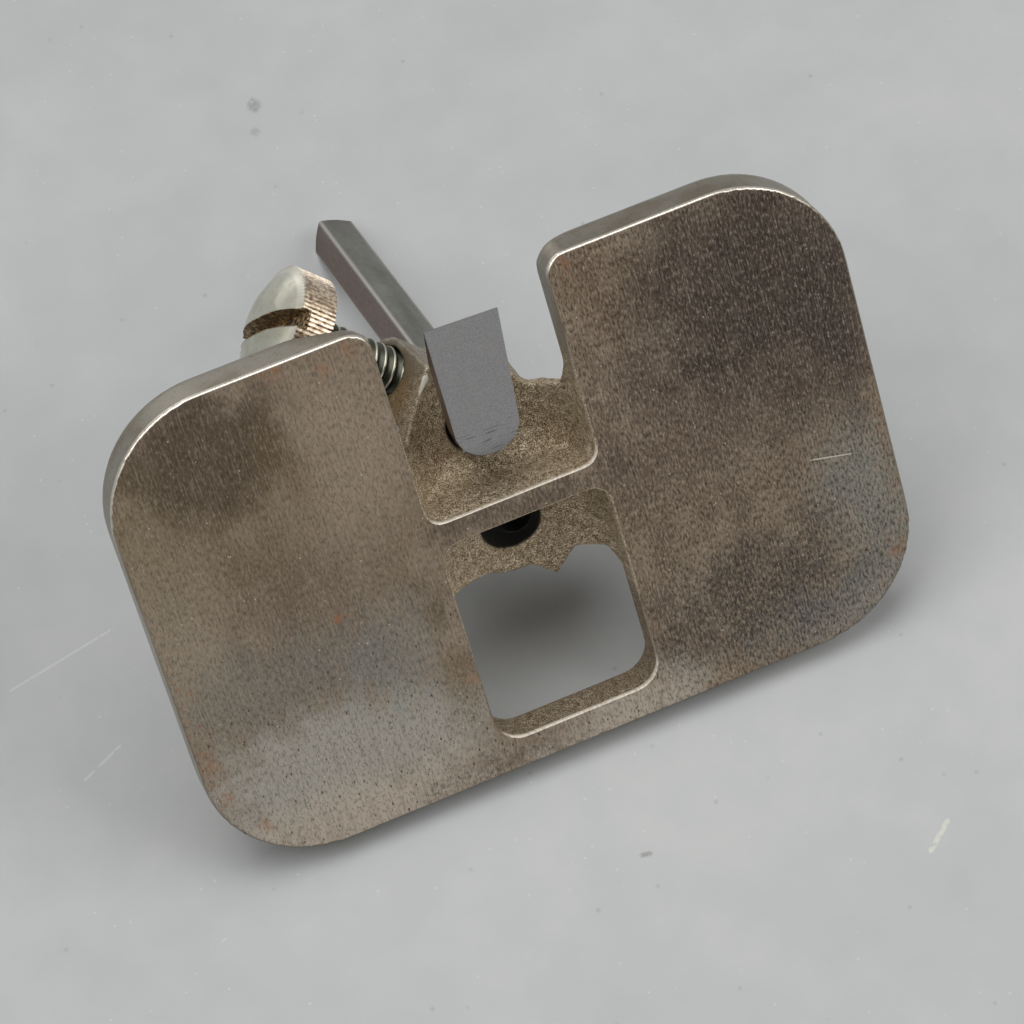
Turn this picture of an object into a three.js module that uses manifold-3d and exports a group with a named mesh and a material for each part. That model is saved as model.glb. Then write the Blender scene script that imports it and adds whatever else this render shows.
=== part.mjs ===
import * as THREE from "three";
import { mergeVertices } from "three/addons/utils/BufferGeometryUtils.js";
import Module from "manifold-3d";

// Small hand router plane: cast base, forged L-shaped cutter and knurled thumbscrew.
// Millimetres, +Z up, +Y towards the closed rear rail.
// The origin is the centre of the cross strip on the sole.

const wasm = await Module();
wasm.setup();

// Base plate
const PLATE_LENGTH = 76.2;
const PLATE_DEPTH = 52.1;
const PLATE_THICKNESS = 4.8;
const FRONT_REACH = 23.9;
const CORNER_RADIUS = 12;
const TOP_ROUNDING = 1.1;

// Throat, window and cross strip
const THROAT_HALF_WIDTH = 9;
const TIP_RADIUS_LEFT = 2.4;
const TIP_RADIUS_RIGHT = 2.2;
const TIP_BEVEL_LEFT = { along: 8.5, drop: 3.8, back: 9 };
const TIP_BEVEL_RIGHT = { along: 5, drop: 2, back: 4.4 };
const TIP_BLOCK_SIZE = 29;
const STRIP_WIDTH = 2.52;
const STRIP_CORNER_RADIUS = 1.8;
const STRIP_FILLET_RADIUS = 4;
const WINDOW_HALF_WIDTH = 8.85;
const WINDOW_SHIFT_X = 0.15;
const WINDOW_STRIP_RADIUS = 2.3;
const REAR_RAIL_WIDTH = 3.3;
const WINDOW_CORNER_RADIUS = 3;

// Arched bridge over the strip
const VAULT_RADIUS = 10.3;
const VAULT_CROWN = 8.6;
const VAULT_MARGIN = 0.1;
const BRIDGE_SHELL = 1.4;
const BRIDGE_FRONT = 8.4;
const BRIDGE_REAR = 10.8;
const BRIDGE_REAR_LEFT = 8.6;
const BRIDGE_CUT_START_X = 1.5;
const BRIDGE_ROUNDING = 0.6;
const BRIDGE_CORNER_RADIUS = 3;
const BRIDGE_REAR_CORNER_RADIUS = 1.6;

// Hump with the two cutter holes
const HUMP_HEIGHT = 17.2;
const HUMP_RADIUS = 6;
const HUMP_HALF_WIDTH = 5.6;
const HUMP_FILLET = 1.8;
const HUMP_ROUNDING = 1.2;
const HOLE_RADIUS = 3.17;
const HOLE_OFFSET_X = 0.15;
const HOLE_OFFSET_Y = 5.85;

// Lugs for the thumbscrew, one for each cutter hole
const SCREW_HEIGHT = 13.3;
const LUG_HALF_WIDTH = 3.45;
const LUG_ROOT_HALF_WIDTH = 5.4;
const LUG_ROOT_INSET = 0.5;
const LUG_ROOT_REACH = 6.9;
const LUG_REACH = 9.1;
const LUG_SLOPE = 0.28;
const LUG_FOOT_HALF_WIDTH = 4.6;
const LUG_FOOT_REACH = 7.3;
const LUG_FOOT_HEIGHT = 7.8;

// Cutter
const SHANK_SIDE = 3.83;
const SHANK_TOP = 60.5;
const SHANK_CHAMFER = 0.8;
const SHANK_EDGE = 0.25;
const SHANK_SHIFT_X = 0.3;
const SHANK_SHIFT_Y = 0.05;
const SHANK_TURN_DEG = 22.6;
const FOOT_LENGTH = 14.6;
const FOOT_EDGE_WIDTH = 7.5;
const FOOT_HEEL_WIDTH = 6.35;
const FOOT_THICKNESS = 2.6;
const FOOT_EDGE_THICKNESS = 0.2;
const FOOT_BEVEL_LENGTH = 4.4;
const FOOT_CLEARANCE = 0.1;
const FOOT_TOE_X = -0.15;
const FOOT_TOE_Y = -21.05;
const FOOT_TURN_DEG = 2.7;
const HEEL_START_Y = -8.8;
const HEEL_REAR_Y = -3.9;
const HEEL_FRONT_Y = -9.4;
const HEEL_BULGE_Y = -5.3;
const HEEL_BULGE_Z = 1.3;
const HEEL_RADIUS = 2.3;
const HEEL_HEIGHT = 6;

// Thumbscrew
const THREAD_RADIUS = 2.38;
const THREAD_DEPTH = 0.34;
const THREAD_PITCH = 1.06;
const THREAD_CLEARANCE = 0.15;
const TIP_FLAT_RADIUS = 1;
const TIP_START = 3;
const TIP_LENGTH = 1.4;
const TIP_RADIUS = 2;
const THREAD_START = 4.7;
const HEAD_START = 18;
const HEAD_LENGTH = 4;
const HEAD_RADIUS = 6.1;
const HEAD_CHAMFER = 0.5;
const DOME_RADIUS = 5.5;
const DOME_HEIGHT = 1.8;
const KNURL_COUNT = 44;
const KNURL_DEPTH = 0.28;
const SLOT_WIDTH = 1.7;
const SLOT_OFFSET = 0.7;
const SLOT_FLOOR = 21.3;
const SLOT_LENGTH = 18.3;
const SLOT_ANGLE_DEG = 38;

const ARC_SEGMENTS = 10;
const BEVEL_SEGMENTS = 4;
const ROUND_SEGMENTS = 48;
const OVERCUT = 1;

const PLATE_REAR = PLATE_DEPTH - FRONT_REACH;
const STRIP_HALF = STRIP_WIDTH / 2;
const WINDOW_REAR = PLATE_REAR - REAR_RAIL_WIDTH;
const VAULT_CENTRE = VAULT_CROWN - VAULT_RADIUS;
const SHANK_X = -HOLE_OFFSET_X - SHANK_SHIFT_X;
const SHANK_Y = -HOLE_OFFSET_Y - SHANK_SHIFT_Y;
const HALF_TURN = Math.PI;
const HALF_TURN_DEG = 180;
const LUG_TURN_DEG = 135;
const MERGE_TOLERANCE = PLATE_LENGTH / 1e6;
const FULL_ROUND_SHARE = 0.98;
const domeShares = [0.75, 0.5, 0.25];

function material(color, roughness, metalness) {
  return new THREE.MeshStandardMaterial({ color, roughness, metalness });
}

const castIron = material(0x7a7064, 0.5, 0.85);
const toolSteel = material(0x75767a, 0.42, 0.9);
const nickel = material(0x9a9488, 0.35, 0.95);

// Closed solid from a three.js geometry, and the way back.
function solidOf(geometry) {
  const bare = geometry.clone();
  bare.deleteAttribute("normal");
  bare.deleteAttribute("uv");
  const merged = mergeVertices(bare, MERGE_TOLERANCE);
  return new wasm.Manifold(
    new wasm.Mesh({
      numProp: 3,
      vertProperties: new Float32Array(merged.attributes.position.array),
      triVerts: new Uint32Array(merged.index.array),
    })
  );
}

function geometryOf(solid) {
  const mesh = solid.getMesh();
  const geometry = new THREE.BufferGeometry();
  geometry.setAttribute("position", new THREE.BufferAttribute(new Float32Array(mesh.vertProperties), 3));
  geometry.setIndex(new THREE.BufferAttribute(new Uint32Array(mesh.triVerts), 1));
  const flat = geometry.toNonIndexed();
  flat.computeVertexNormals();
  return flat;
}

function namedMesh(name, solid, look) {
  const mesh = new THREE.Mesh(geometryOf(solid), look);
  mesh.name = name;
  return mesh;
}

// Adds a polygon with rounded corners, given as [x, y, radius], to a path.
function roundedPath(path, corners) {
  const count = corners.length;
  corners.forEach(([x, y, radius], i) => {
    const corner = new THREE.Vector2(x, y);
    const before = new THREE.Vector2(...corners[(i + count - 1) % count]).sub(corner).normalize();
    const after = new THREE.Vector2(...corners[(i + 1) % count]).sub(corner).normalize();
    const half = Math.acos(before.dot(after)) / 2;
    const reach = radius / Math.tan(half);
    const start = corner.clone().addScaledVector(before, reach);
    const end = corner.clone().addScaledVector(after, reach);
    const middle = before.clone().add(after).normalize();
    const centre = corner.clone().addScaledVector(middle, radius / Math.sin(half));
    if (i === 0) path.moveTo(start.x, start.y);
    else path.lineTo(start.x, start.y);
    if (radius > 0) {
      const from = Math.atan2(start.y - centre.y, start.x - centre.x);
      const to = Math.atan2(end.y - centre.y, end.x - centre.x);
      path.absarc(centre.x, centre.y, radius, from, to, before.cross(after) > 0);
    }
  });
  path.closePath();
  return path;
}

function roundedShape(corners) {
  return roundedPath(new THREE.Shape(), corners);
}

// Straight prism of a shape along local +Z, with rounded ends where a rounding is given.
function prism(shape, depth, rounding = 0) {
  return new THREE.ExtrudeGeometry(shape, {
    depth: depth - rounding * 2,
    bevelEnabled: rounding > 0,
    bevelThickness: rounding,
    bevelSize: rounding,
    bevelOffset: -rounding,
    bevelSegments: BEVEL_SEGMENTS,
    curveSegments: ARC_SEGMENTS,
  }).translate(0, 0, rounding);
}

// Prism with its outline in X and Z, running along Y from front to rear.
function prismAlongY(shape, front, rear, rounding = 0) {
  return prism(shape, rear - front, rounding).rotateX(HALF_TURN / 2).translate(0, rear, 0);
}

// Prism with its outline in Y and Z, running along X.
function prismAlongX(shape, left, right) {
  const turn = new THREE.Matrix4().makeBasis(
    new THREE.Vector3(0, 1, 0),
    new THREE.Vector3(0, 0, 1),
    new THREE.Vector3(1, 0, 0)
  );
  return prism(shape, right - left).applyMatrix4(turn).translate(left, 0, 0);
}

// Places a geometry whose local Z is the thumbscrew's axis, pointing out of the lug.
function alongScrew(geometry) {
  const outward = new THREE.Vector3(-1, -1, 0).normalize();
  const up = new THREE.Vector3(0, 0, 1);
  const lateral = up.clone().cross(outward);
  const place = new THREE.Matrix4().makeBasis(lateral, up, outward);
  place.setPosition(-HOLE_OFFSET_X, -HOLE_OFFSET_Y, SCREW_HEIGHT);
  return geometry.applyMatrix4(place);
}

// Turned piece from [radius, distance] pairs along local +Z.
function turned(profile, segments) {
  const points = profile.map(([radius, along]) => new THREE.Vector2(radius, along));
  return new THREE.LatheGeometry(points, segments).rotateX(HALF_TURN / 2);
}

function rearCopy(solid) {
  return solid.rotate([0, 0, HALF_TURN_DEG]);
}

function unionOf(solids) {
  return solids.reduce((sum, next) => sum.add(next));
}

// Flat plate with its upper edges rounded, the throat notch and the window.
function plate() {
  const halfLength = PLATE_LENGTH / 2;
  const shape = roundedShape([
    [halfLength, PLATE_REAR, CORNER_RADIUS],
    [-halfLength, PLATE_REAR, CORNER_RADIUS],
    [-halfLength, -FRONT_REACH, CORNER_RADIUS],
    [-THROAT_HALF_WIDTH, -FRONT_REACH, TIP_RADIUS_LEFT],
    [-THROAT_HALF_WIDTH, -BRIDGE_FRONT, BRIDGE_CORNER_RADIUS],
    [THROAT_HALF_WIDTH, -BRIDGE_FRONT, BRIDGE_CORNER_RADIUS],
    [THROAT_HALF_WIDTH, -FRONT_REACH, TIP_RADIUS_RIGHT],
    [halfLength, -FRONT_REACH, CORNER_RADIUS],
  ]);
  shape.holes.push(
    roundedPath(new THREE.Path(), [
      [WINDOW_SHIFT_X + WINDOW_HALF_WIDTH, WINDOW_REAR, WINDOW_CORNER_RADIUS],
      [WINDOW_SHIFT_X + WINDOW_HALF_WIDTH, BRIDGE_REAR, BRIDGE_CORNER_RADIUS],
      [WINDOW_SHIFT_X - WINDOW_HALF_WIDTH, BRIDGE_REAR_LEFT, BRIDGE_REAR_CORNER_RADIUS],
      [WINDOW_SHIFT_X - WINDOW_HALF_WIDTH, WINDOW_REAR, WINDOW_CORNER_RADIUS],
    ])
  );
  const depth = PLATE_THICKNESS + TOP_ROUNDING;
  return solidOf(prism(shape, depth, TOP_ROUNDING).translate(0, 0, -TOP_ROUNDING));
}

// Arched shell that carries the hump over the strip, cut back at the rear left.
function bridge() {
  const shape = new THREE.Shape();
  shape.absarc(0, VAULT_CENTRE, VAULT_RADIUS + BRIDGE_SHELL, 0, HALF_TURN, false);
  shape.closePath();
  const arch = solidOf(prismAlongY(shape, -BRIDGE_FRONT, BRIDGE_REAR, BRIDGE_ROUNDING));
  const wide = VAULT_RADIUS + BRIDGE_SHELL + OVERCUT;
  const plan = roundedShape([
    [-wide, -BRIDGE_FRONT - OVERCUT, 0],
    [wide, -BRIDGE_FRONT - OVERCUT, 0],
    [wide, BRIDGE_REAR + OVERCUT, 0],
    [BRIDGE_CUT_START_X, BRIDGE_REAR + OVERCUT, 0],
    [-wide, BRIDGE_REAR_LEFT, 0],
  ]);
  return arch.intersect(solidOf(prism(plan, VAULT_CROWN * 2)));
}

// Upright boss round one cutter hole.
function holeBoss() {
  const top = HUMP_HEIGHT;
  const round = HUMP_ROUNDING;
  const bevel = round * (1 - Math.SQRT1_2);
  const profile = [
    [0, 0],
    [HUMP_RADIUS, 0],
    [HUMP_RADIUS, top - round],
    [HUMP_RADIUS - bevel, top - bevel],
    [HUMP_RADIUS - round, top],
    [0, top],
  ];
  return solidOf(turned(profile, ROUND_SEGMENTS).translate(-HOLE_OFFSET_X, -HOLE_OFFSET_Y, 0));
}

// Straight middle of the hump, with a fillet at its foot on the bridge.
function humpMiddle() {
  const foot = HUMP_HALF_WIDTH + HUMP_FILLET;
  const filletTop = VAULT_CENTRE + Math.sqrt((VAULT_RADIUS + BRIDGE_SHELL) ** 2 - foot ** 2) + HUMP_FILLET;
  const shape = new THREE.Shape();
  shape.moveTo(-foot, 0);
  shape.lineTo(foot, 0);
  shape.lineTo(foot, filletTop - HUMP_FILLET);
  shape.absarc(foot, filletTop, HUMP_FILLET, -HALF_TURN / 2, -HALF_TURN, true);
  shape.lineTo(HUMP_HALF_WIDTH, HUMP_HEIGHT - HUMP_ROUNDING);
  const inner = HUMP_HALF_WIDTH - HUMP_ROUNDING;
  const cornerHeight = HUMP_HEIGHT - HUMP_ROUNDING;
  shape.absarc(inner, cornerHeight, HUMP_ROUNDING, 0, HALF_TURN / 2, false);
  shape.absarc(-inner, cornerHeight, HUMP_ROUNDING, HALF_TURN / 2, HALF_TURN, false);
  shape.lineTo(-HUMP_HALF_WIDTH, filletTop);
  shape.absarc(-foot, filletTop, HUMP_FILLET, 0, -HALF_TURN / 2, true);
  shape.closePath();
  return solidOf(prismAlongY(shape, -BRIDGE_FRONT, BRIDGE_FRONT));
}

// Round-topped lug that the thumbscrew is threaded through, wider at its root
// and cut off at a slight slope.
function lug() {
  const barrel = new THREE.Shape();
  barrel.moveTo(-LUG_HALF_WIDTH, -SCREW_HEIGHT);
  barrel.lineTo(LUG_HALF_WIDTH, -SCREW_HEIGHT);
  barrel.absarc(0, 0, LUG_HALF_WIDTH, 0, HALF_TURN, false);
  barrel.closePath();
  const slope = new THREE.Matrix4().makeShear(0, 0, 0, LUG_SLOPE, 0, 0);
  const straight = solidOf(alongScrew(prism(barrel, LUG_REACH).applyMatrix4(slope)));
  const narrow = LUG_HALF_WIDTH - LUG_ROOT_INSET;
  const root = roundedShape([
    [-LUG_ROOT_HALF_WIDTH, 0, 0],
    [LUG_ROOT_HALF_WIDTH, 0, 0],
    [narrow, LUG_ROOT_REACH, 0],
    [-narrow, LUG_ROOT_REACH, 0],
  ]);
  const foot = roundedShape([
    [-LUG_FOOT_HALF_WIDTH, 0, 0],
    [LUG_FOOT_HALF_WIDTH, 0, 0],
    [LUG_FOOT_HALF_WIDTH, LUG_FOOT_REACH, 0],
    [-LUG_FOOT_HALF_WIDTH, LUG_FOOT_REACH, 0],
  ]);
  const webs = [prism(root, SCREW_HEIGHT - LUG_ROOT_INSET), prism(foot, LUG_FOOT_HEIGHT)].map((web) => {
    const turnedWeb = web.rotateZ(THREE.MathUtils.degToRad(LUG_TURN_DEG));
    return solidOf(turnedWeb.translate(-HOLE_OFFSET_X, -HOLE_OFFSET_Y, 0));
  });
  return unionOf([straight, ...webs]);
}

// Block that bevels the upper corner of a wing's tip beside the throat.
function tipBevel(side, bevel) {
  const corner = new THREE.Vector3(side * THROAT_HALF_WIDTH, -FRONT_REACH, PLATE_THICKNESS);
  const outer = corner.clone().add(new THREE.Vector3(side * bevel.along, 0, 0));
  const low = corner.clone().add(new THREE.Vector3(0, 0, -bevel.drop));
  const back = corner.clone().add(new THREE.Vector3(0, bevel.back, 0));
  const normal = outer.clone().sub(low).cross(back.clone().sub(low)).normalize();
  if (normal.z < 0) normal.negate();
  const block = new THREE.BoxGeometry(TIP_BLOCK_SIZE, TIP_BLOCK_SIZE, TIP_BLOCK_SIZE);
  block.translate(0, 0, TIP_BLOCK_SIZE / 2);
  block.applyQuaternion(new THREE.Quaternion().setFromUnitVectors(new THREE.Vector3(0, 0, 1), normal));
  return solidOf(block.translate(low.x, low.y, low.z));
}

// Pocket under the vault in front of the strip, as deep towards the front as reach.
function pocket(halfWidth, reach, radius) {
  const springing = Math.acos(halfWidth / VAULT_RADIUS);
  const vault = new THREE.Shape();
  vault.moveTo(-halfWidth, -OVERCUT);
  vault.lineTo(halfWidth, -OVERCUT);
  vault.absarc(0, VAULT_CENTRE, VAULT_RADIUS, springing, HALF_TURN - springing, false);
  vault.closePath();
  const top = VAULT_CROWN + VAULT_MARGIN;
  const section = roundedShape([
    [-reach, -OVERCUT, 0],
    [-STRIP_HALF, -OVERCUT, 0],
    [-STRIP_HALF, top, STRIP_FILLET_RADIUS],
    [-reach, top, 0],
  ]);
  const plan = roundedShape([
    [-halfWidth, -reach, 0],
    [halfWidth, -reach, 0],
    [halfWidth, -STRIP_HALF, radius],
    [-halfWidth, -STRIP_HALF, radius],
  ]);
  const wide = halfWidth + OVERCUT;
  return solidOf(prismAlongY(vault, -reach, -STRIP_HALF))
    .intersect(solidOf(prismAlongX(section, -wide, wide)))
    .intersect(solidOf(prism(plan, top + OVERCUT * 2).translate(0, 0, -OVERCUT)));
}

function cutterHole() {
  const hole = new THREE.CylinderGeometry(HOLE_RADIUS, HOLE_RADIUS, HUMP_HEIGHT, ROUND_SEGMENTS);
  hole.rotateX(HALF_TURN / 2);
  return solidOf(hole.translate(-HOLE_OFFSET_X, -HOLE_OFFSET_Y, HUMP_HEIGHT / 2 + OVERCUT));
}

function screwHole() {
  const radius = THREAD_RADIUS + THREAD_CLEARANCE;
  const reach = LUG_REACH + OVERCUT * 2;
  const hole = new THREE.CylinderGeometry(radius, radius, reach, ROUND_SEGMENTS / 2);
  hole.rotateX(HALF_TURN / 2).translate(0, 0, reach / 2);
  return solidOf(alongScrew(hole));
}

function belowSole() {
  const wide = PLATE_LENGTH * 2;
  const slab = new THREE.BoxGeometry(wide, wide, PLATE_LENGTH);
  return solidOf(slab.translate(0, 0, -PLATE_LENGTH / 2));
}

function bodySolid() {
  const hump = [holeBoss(), rearCopy(holeBoss()), humpMiddle()];
  const lugs = [lug(), rearCopy(lug())];
  const wings = plate().subtract(tipBevel(-1, TIP_BEVEL_LEFT)).subtract(tipBevel(1, TIP_BEVEL_RIGHT));
  const raised = unionOf([wings, bridge(), ...hump, ...lugs]);
  const reach = FRONT_REACH - CORNER_RADIUS / 2;
  const front = pocket(THROAT_HALF_WIDTH, reach, STRIP_CORNER_RADIUS);
  const rear = rearCopy(pocket(WINDOW_HALF_WIDTH, reach, WINDOW_STRIP_RADIUS));
  const window = rear.translate([WINDOW_SHIFT_X, 0, 0]);
  const holes = [cutterHole(), rearCopy(cutterHole()), screwHole(), rearCopy(screwHole())];
  return [front, window, ...holes, belowSole()].reduce((left, cut) => left.subtract(cut), raised);
}

// Foot of the cutter, seen from above with its toe at the front.
function footSolid() {
  const heel = FOOT_HEEL_WIDTH / 2;
  const shape = roundedShape([
    [-FOOT_EDGE_WIDTH / 2, 0, 0],
    [FOOT_EDGE_WIDTH / 2, 0, 0],
    [heel, FOOT_LENGTH, heel * FULL_ROUND_SHARE],
    [-heel, FOOT_LENGTH, heel * FULL_ROUND_SHARE],
  ]);
  const side = new THREE.Shape();
  side.moveTo(0, 0);
  side.lineTo(FOOT_LENGTH, 0);
  side.lineTo(FOOT_LENGTH, FOOT_THICKNESS);
  side.lineTo(FOOT_BEVEL_LENGTH, FOOT_THICKNESS);
  side.lineTo(0, FOOT_EDGE_THICKNESS);
  side.closePath();
  const blank = solidOf(prism(shape, FOOT_THICKNESS));
  const wedge = solidOf(prismAlongX(side, -FOOT_EDGE_WIDTH, FOOT_EDGE_WIDTH));
  const foot = blank.intersect(wedge).rotate([0, 0, FOOT_TURN_DEG]);
  return foot.translate([FOOT_TOE_X, FOOT_TOE_Y, FOOT_CLEARANCE]);
}

// Bend where the foot turns up into the shank.
function heelSolid() {
  const low = FOOT_CLEARANCE + FOOT_EDGE_THICKNESS;
  const bend = new THREE.Shape();
  bend.moveTo(HEEL_FRONT_Y, low);
  bend.lineTo(HEEL_START_Y, low);
  bend.quadraticCurveTo(HEEL_BULGE_Y, HEEL_BULGE_Z, HEEL_REAR_Y, HEEL_HEIGHT);
  bend.lineTo(SHANK_Y - HEEL_RADIUS, HEEL_HEIGHT);
  bend.quadraticCurveTo(SHANK_Y - HEEL_RADIUS, FOOT_THICKNESS, HEEL_FRONT_Y, FOOT_THICKNESS);
  bend.closePath();
  const plan = roundedShape([
    [SHANK_X - HEEL_RADIUS, HEEL_FRONT_Y, 0],
    [SHANK_X + HEEL_RADIUS, HEEL_FRONT_Y, 0],
    [SHANK_X + HEEL_RADIUS, HEEL_REAR_Y, HEEL_RADIUS * FULL_ROUND_SHARE],
    [SHANK_X - HEEL_RADIUS, HEEL_REAR_Y, HEEL_RADIUS * FULL_ROUND_SHARE],
  ]);
  const side = solidOf(prismAlongX(bend, SHANK_X - HEEL_RADIUS * 2, SHANK_X + HEEL_RADIUS * 2));
  return side.intersect(solidOf(prism(plan, HEEL_HEIGHT + OVERCUT)));
}

function shankSolid() {
  const half = SHANK_SIDE / 2;
  const shape = roundedShape([
    [half, half, SHANK_EDGE],
    [-half, half, SHANK_EDGE],
    [-half, -half, SHANK_EDGE],
    [half, -half, SHANK_EDGE],
  ]);
  const base = HEEL_HEIGHT - SHANK_CHAMFER;
  const rod = prism(shape, SHANK_TOP - base).rotateZ(THREE.MathUtils.degToRad(SHANK_TURN_DEG));
  const envelope = turned(
    [
      [0, 0],
      [SHANK_SIDE, 0],
      [SHANK_SIDE, SHANK_TOP - base - SHANK_CHAMFER * 2],
      [half - SHANK_CHAMFER, SHANK_TOP - base],
      [0, SHANK_TOP - base],
    ],
    ROUND_SEGMENTS / 2
  );
  const shank = solidOf(rod).intersect(solidOf(envelope));
  return shank.translate([SHANK_X, SHANK_Y, base]);
}

function cutterSolid() {
  return unionOf([footSolid(), heelSolid(), shankSolid()]);
}

// Knurled head with a domed, slotted face.
function headSolid() {
  const end = HEAD_START + HEAD_LENGTH;
  const dome = domeShares.map((share) => [
    DOME_RADIUS * share,
    end + DOME_HEIGHT * (1 - share ** 2),
  ]);
  const profile = [
    [0, HEAD_START],
    [HEAD_RADIUS - HEAD_CHAMFER, HEAD_START],
    [HEAD_RADIUS, HEAD_START + HEAD_CHAMFER],
    [HEAD_RADIUS, end - HEAD_CHAMFER],
    [DOME_RADIUS, end],
    ...dome,
    [0, end + DOME_HEIGHT],
  ];
  const head = solidOf(turned(profile, ROUND_SEGMENTS));
  return head.intersect(knurl()).subtract(slot());
}

function knurl() {
  const step = HALF_TURN / KNURL_COUNT;
  const shape = new THREE.Shape();
  for (let i = 0; i < KNURL_COUNT * 2; i += 1) {
    const radius = HEAD_RADIUS + (i % 2 === 0 ? KNURL_DEPTH : -KNURL_DEPTH);
    const x = radius * Math.cos(i * step);
    const y = radius * Math.sin(i * step);
    if (i === 0) shape.moveTo(x, y);
    else shape.lineTo(x, y);
  }
  shape.closePath();
  const depth = HEAD_LENGTH + DOME_HEIGHT + OVERCUT * 2;
  return solidOf(prism(shape, depth).translate(0, 0, HEAD_START - OVERCUT));
}

function slot() {
  const box = new THREE.BoxGeometry(SLOT_WIDTH, SLOT_LENGTH, HEAD_LENGTH + DOME_HEIGHT);
  box.translate(-SLOT_OFFSET, 0, SLOT_FLOOR + (HEAD_LENGTH + DOME_HEIGHT) / 2);
  return solidOf(box.rotateZ(THREE.MathUtils.degToRad(SLOT_ANGLE_DEG)));
}

// Threaded stem, from behind the loose point to the head.
function stemSolid() {
  const profile = [[0, THREAD_START]];
  const root = THREAD_RADIUS - THREAD_DEPTH;
  const turns = Math.floor((HEAD_START - THREAD_START) / THREAD_PITCH);
  for (let i = 0; i < turns; i += 1) {
    const start = THREAD_START + i * THREAD_PITCH;
    profile.push([root, start], [THREAD_RADIUS, start + THREAD_PITCH / 2]);
  }
  profile.push([root, THREAD_START + turns * THREAD_PITCH]);
  profile.push([root, HEAD_START + HEAD_CHAMFER], [0, HEAD_START + HEAD_CHAMFER]);
  return solidOf(turned(profile, ROUND_SEGMENTS / 2));
}

function placedOnScrew(solid) {
  return solidOf(alongScrew(geometryOf(solid)));
}

function thumbscrewSolid() {
  return placedOnScrew(stemSolid().add(headSolid()));
}

// Point of the thumbscrew, which bears on the cutter's shank.
function pointSolid() {
  const end = TIP_START + TIP_LENGTH;
  const profile = [
    [0, TIP_START],
    [TIP_FLAT_RADIUS, TIP_START],
    [TIP_RADIUS, TIP_START + TIP_RADIUS - TIP_FLAT_RADIUS],
    [TIP_RADIUS, end],
    [0, end],
  ];
  return placedOnScrew(solidOf(turned(profile, ROUND_SEGMENTS / 2)));
}

const part = new THREE.Group();
part.name = "router_plane";
part.add(namedMesh("body", bodySolid(), castIron));
part.add(namedMesh("cutter", cutterSolid(), toolSteel));
part.add(namedMesh("thumbscrew", thumbscrewSolid(), nickel));
part.add(namedMesh("thumbscrew_point", pointSolid(), nickel));

export default part;
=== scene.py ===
import math

import bpy
import numpy as np
from mathutils import Matrix, Vector


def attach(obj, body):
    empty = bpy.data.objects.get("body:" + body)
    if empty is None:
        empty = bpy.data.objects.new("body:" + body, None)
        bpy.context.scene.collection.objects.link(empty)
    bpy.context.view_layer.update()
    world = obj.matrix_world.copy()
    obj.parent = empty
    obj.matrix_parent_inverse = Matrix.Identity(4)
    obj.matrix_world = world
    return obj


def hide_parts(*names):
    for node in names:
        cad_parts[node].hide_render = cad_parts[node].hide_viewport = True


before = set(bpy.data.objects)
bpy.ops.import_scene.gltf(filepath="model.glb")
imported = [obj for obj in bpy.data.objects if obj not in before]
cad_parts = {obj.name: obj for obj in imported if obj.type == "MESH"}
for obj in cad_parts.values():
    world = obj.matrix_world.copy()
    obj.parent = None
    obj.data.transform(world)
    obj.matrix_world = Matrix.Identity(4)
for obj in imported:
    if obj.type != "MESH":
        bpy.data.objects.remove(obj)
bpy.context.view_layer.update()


# Camera. It looks at the sole from in front and below, with a long lens, as the tool
# lies on its back with the closed rear rail towards the bottom of the view.
def metres(*millimetres):
    return Vector(millimetres) / 1000


camera_place = metres(-60.1, -194.5, -341.2)
across = Vector((0.9179, 0.2543, -0.3047))
upward = Vector((0.3678, -0.8336, 0.4122))
sensor_width = 36
lens_length = 143.55

camera_data = bpy.data.cameras.new("camera")
camera_data.sensor_width = sensor_width
camera_data.lens = lens_length
camera = bpy.data.objects.new("camera", camera_data)
facing = Matrix((across, upward, across.cross(upward))).transposed()
camera.matrix_world = Matrix.Translation(camera_place) @ facing.to_4x4()
bpy.context.scene.collection.objects.link(camera)
bpy.context.scene.camera = camera


# Table under the tool, painted grey. It carries the rear edge of the base and the end of the
# shank, so it slopes in the tool's own frame. Seen from behind it is clear, for other views.
class Value:
    """A number that varies over a surface, so that a formula reads as it is meant."""

    def __init__(self, finish, socket):
        self.finish = finish
        self.socket = socket

    def worked(self, operation, first, second):
        node = self.finish.node("Math", {"operation": operation}, {0: first, 1: second})
        return Value(self.finish, node.outputs[0])

    def __add__(self, other):
        return self.worked("ADD", self, other)

    def __sub__(self, other):
        return self.worked("SUBTRACT", self, other)

    def __mul__(self, other):
        return self.worked("MULTIPLY", self, other)

    __radd__ = __add__
    __rmul__ = __mul__

    def __rsub__(self, other):
        return self.worked("SUBTRACT", other, self)

    def __abs__(self):
        return self.worked("ABSOLUTE", self, 0.0)

    def most(self, other):
        return self.worked("MAXIMUM", self, other)

    def rise(self, low, high):
        """0 below low, 1 above high, and smooth between them."""
        node = self.finish.node(
            "MapRange",
            {"interpolation_type": "SMOOTHSTEP"},
            {0: self, 1: low, 2: high, 3: 0.0, 4: 1.0},
        )
        return Value(self.finish, node.outputs[0])

    def fall(self, low, high):
        """1 below low, 0 above high, and smooth between them."""
        return 1.0 - self.rise(low, high)


def tone(red, green, blue):
    """A colour as the eye sees it, from 0 to 255, made linear."""
    shares = [part / 255 for part in (red, green, blue)]
    return (*[s / 12.92 if s <= 0.04045 else ((s + 0.055) / 1.055) ** 2.4 for s in shares], 1.0)


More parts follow.
